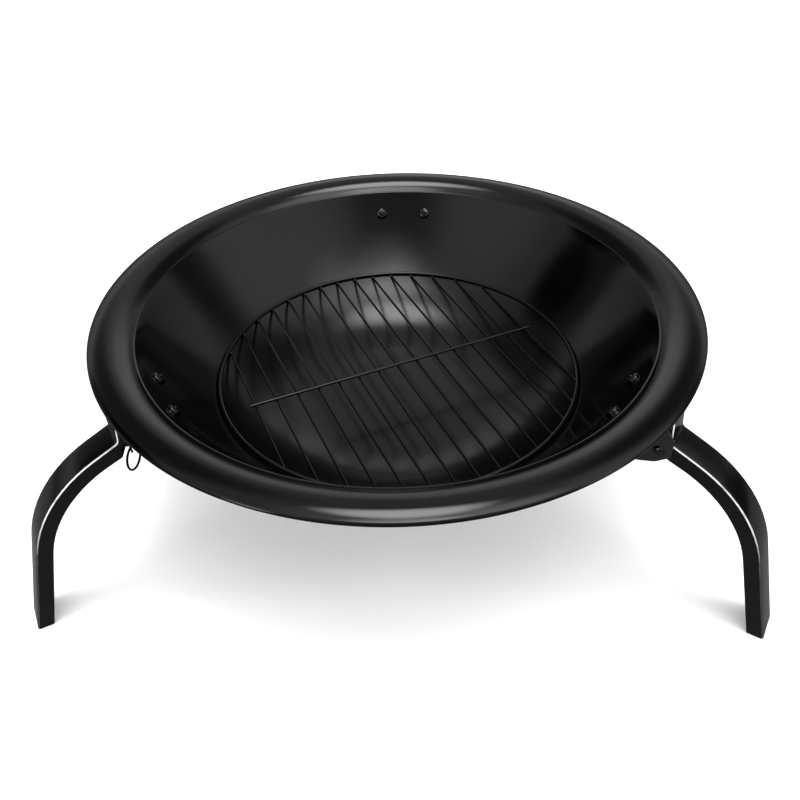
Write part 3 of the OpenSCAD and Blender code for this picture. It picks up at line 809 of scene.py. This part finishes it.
def add_pan_head(bm, place):
    """A domed head with a cross recess, on the bowl's inner face."""
    radius, seat = BOLT_HEAD_D / 2, -BOLT_SEAT
    rings = []
    for k in range(1, HEAD_RINGS):
        r = radius * k / HEAD_RINGS
        height = HEAD_SIDE_H + (BOLT_HEAD_H - HEAD_SIDE_H) * sqrt(1 - (r / radius) ** 2)
        spots = [(r * cos(a), r * sin(a)) for a in circle_angles(HEAD_SIDES)]
        rings.append([bm.verts.new(place @ Vector((x, y, seat - height + recess(x, y)))) for x, y in spots])
    for r, height in ((radius, HEAD_SIDE_H), (radius, HEAD_CHAMFER_H), (radius - HEAD_CHAMFER_W, 0)):
        spots = [Vector((r * cos(a), r * sin(a), seat - height)) for a in circle_angles(HEAD_SIDES)]
        rings.append([bm.verts.new(place @ spot) for spot in spots])
    join_rings(bm, zip(rings, rings[1:]))
    bm.faces.new(rings[0])
    bm.faces.new(reversed(rings[-1]))


def recess(x, y):
    """How deep the cross recess is at that place on a bolt's head."""
    past_x = max(abs(x) - RECESS_ARM, 0) + max(abs(y) - RECESS_HALF_W, 0)
    past_y = max(abs(y) - RECESS_ARM, 0) + max(abs(x) - RECESS_HALF_W, 0)
    return RECESS_DEPTH * max(0, 1 - min(past_x, past_y) / RECESS_EDGE)


def add_shank(bm, place, low, high):
    """A bolt's shank with the ridges of its thread."""
    radius = BOLT_D / 2
    profile = [(0, low), (radius - THREAD_RUNOUT, low)]
    for k in range(int((high - low) / THREAD_PITCH - 1)):
        crest = low + THREAD_START + k * THREAD_PITCH
        profile += [(radius, crest), (radius - THREAD_DEPTH, crest + THREAD_PITCH / 2)]
    profile += [(radius - SHANK_CHAMFER, high), (0, high)]
    add_revolve(bm, profile, SHANK_SIDES, place)


def add_nut(bm, place, low):
    """A hexagon nut with chamfered corners."""
    angles = circle_angles(NUT_SIDES)
    flat, chamfer, high = NUT_AF / 2, NUT_AF / 2 - NUT_CHAMFER, low + NUT_H
    radii = [flat / cos((a + pi / 6) % (pi / 3) - pi / 6) for a in angles]
    drops = [(r - chamfer) * tan(radians(NUT_CHAMFER_SLOPE)) for r in radii]
    rows = [
        [(NUT_BORE_R, low)] * NUT_SIDES,
        [(chamfer, low)] * NUT_SIDES,
        [(r, low + drop) for r, drop in zip(radii, drops)],
        [(r, high - drop) for r, drop in zip(radii, drops)],
        [(chamfer, high)] * NUT_SIDES,
        [(NUT_BORE_R + NUT_BORE_CHAMFER, high)] * NUT_SIDES,
        [(NUT_BORE_R, high - NUT_BORE_CHAMFER)] * NUT_SIDES,
    ]
    rings = []
    for row in rows:
        spots = [Vector((r * cos(a), r * sin(a), z)) for a, (r, z) in zip(angles, row)]
        rings.append([bm.verts.new(place @ spot) for spot in spots])
    join_rings(bm, zip(rings, rings[1:] + rings[:1]))


def make_fasteners(side, turn):
    """A leg's two bolts as one piece and their two nuts as another."""
    bolts, nuts = bmesh.new(), bmesh.new()
    outside = SHEET + FLANGE_GAP + FLANGE_T + BOLT_SEAT
    for half in (-1, 1):
        place = at_bolt(turn, half)
        add_pan_head(bolts, place)
        add_shank(bolts, place, SHANK_START, outside + NUT_H + SHANK_PAST_NUT)
        add_nut(nuts, place, outside)
    finish_mesh(bolts, f"bolts_{side}_shown", "bolt_steel", "bowl_body", f"bolts_{side}", sharp=35)
    finish_mesh(nuts, f"nuts_{side}_shown", "nut_steel", "bowl_body", f"nuts_{side}", sharp=20)


# ---- camera, light and floor ----

def make_camera():
    """The camera, placed about the middle of the rim by its direction and distance, then aimed and rolled."""
    height, turn, roll = radians(CAMERA_HEIGHT), radians(CAMERA_TURN), radians(CAMERA_ROLL)
    out = Vector((sin(turn) * cos(height), -cos(turn) * cos(height), sin(height)))
    right = Vector((cos(turn), sin(turn), 0))
    aim = -out + tan(radians(AIM_RIGHT)) * right + tan(radians(AIM_UP)) * right.cross(-out)
    forward = aim.normalized()
    right = forward.cross(Vector((0, 0, 1))).normalized()
    up = right.cross(forward)
    right, up = cos(roll) * right + sin(roll) * up, cos(roll) * up - sin(roll) * right
    data = bpy.data.cameras.new("camera")
    data.sensor_width = SENSOR_W
    data.lens = LENS
    data.clip_start = CLIP_START * MM
    data.clip_end = CLIP_END * MM
    camera = bpy.data.objects.new("camera", data)
    bpy.context.scene.collection.objects.link(camera)
    turned = Matrix((right, up, -forward)).transposed().to_4x4()
    at = Vector((0, 0, RIM_MIDDLE_Z * MM)) + out * (CAMERA_DISTANCE * MM)
    camera.matrix_world = Matrix.Translation(at) @ turned
    bpy.context.scene.camera = camera


def make_view():
    """Plain display of the light, so that the pale floor is nearly white."""
    view = bpy.context.scene.view_settings
    view.view_transform = "Standard"
    view.gamma = VIEW_GAMMA


def make_world():
    """The soft room that the gloss reflects, grey with dark cards and lamps. Seen directly it is white."""
    world = bpy.data.worlds.new("room")
    bpy.context.scene.world = world
    world.use_nodes = True
    n = Nodes(world.node_tree, "Generated")
    upward = n.along((0, 0, 1))
    glow = n.span(upward, GLOW_HEIGHT, 0, FLOOR_GLOW - HORIZON_LIGHT, 0)
    light = n.maths("ADD", n.span(upward, 0, ROOM_HEIGHT, HORIZON_LIGHT, ROOM_LIGHT), glow)
    for *spot, strength in ROOM_CARDS:
        light = n.maths("MULTIPLY", light, n.span(n.patch(*spot), 0, 1, 1, 1 - strength))
    for *spot, strength in ROOM_LAMPS:
        light = n.maths("ADD", light, n.maths("MULTIPLY", n.patch(*spot), strength))
    seen = n.add("ShaderNodeLightPath").outputs["Is Camera Ray"]
    light = n.add("ShaderNodeMix", {0: seen, 2: light, 3: BACKDROP}).outputs[0]
    n.set_inputs(n.tree.nodes["Background"], {"Color": (1, 1, 1, 1), "Strength": light})


def make_floor_lamps():
    """Large lamps that light the floor evenly. The gloss doesn't show them, because it shows the room."""
    for name, at in FLOOR_LAMPS.items():
        data = bpy.data.lights.new(name, "AREA")
        data.size = FLOOR_LAMP_SIZE
        data.energy = FLOOR_LAMP_POWER
        lamp = bpy.data.objects.new(name, data)
        bpy.context.scene.collection.objects.link(lamp)
        lamp.location = at
        lamp.rotation_mode = "QUATERNION"
        lamp.rotation_quaternion = (-Vector(at)).to_track_quat("-Z", "Y")
        lamp.visible_glossy = False


def make_floor():
    """A plain pale floor that is left out of the gloss, so that the black paint stays black."""
    bm = bmesh.new()
    bmesh.ops.create_grid(bm, x_segments=1, y_segments=1, size=FLOOR_HALF)
    mesh = bpy.data.meshes.new("floor")
    bm.to_mesh(mesh)
    bm.free()
    n = Material("floor")
    mesh.materials.append(n.finish(n.blend(n.noise(0.002), grey(0.8), grey(0.82)), FLOOR_ROUGHNESS))
    floor = bpy.data.objects.new("floor", mesh)
    bpy.context.scene.collection.objects.link(floor)
    floor.visible_glossy = False


grate_turn = Matrix.Rotation(radians(GRATE_TURN), 4, "Z")
make_camera()
make_view()
make_world()
make_floor_lamps()
make_floor()
make_bowl()
make_hoop()
make_bars(grate_turn)
make_cross_wire(grate_turn)
for side, turn in SIDES.items():
    make_leg(side, turn)
    make_hinge(side, turn)
    make_pin(side, turn)
    make_pull_ring(side, turn)
    make_bracket(side, turn)
    make_fasteners(side, turn)
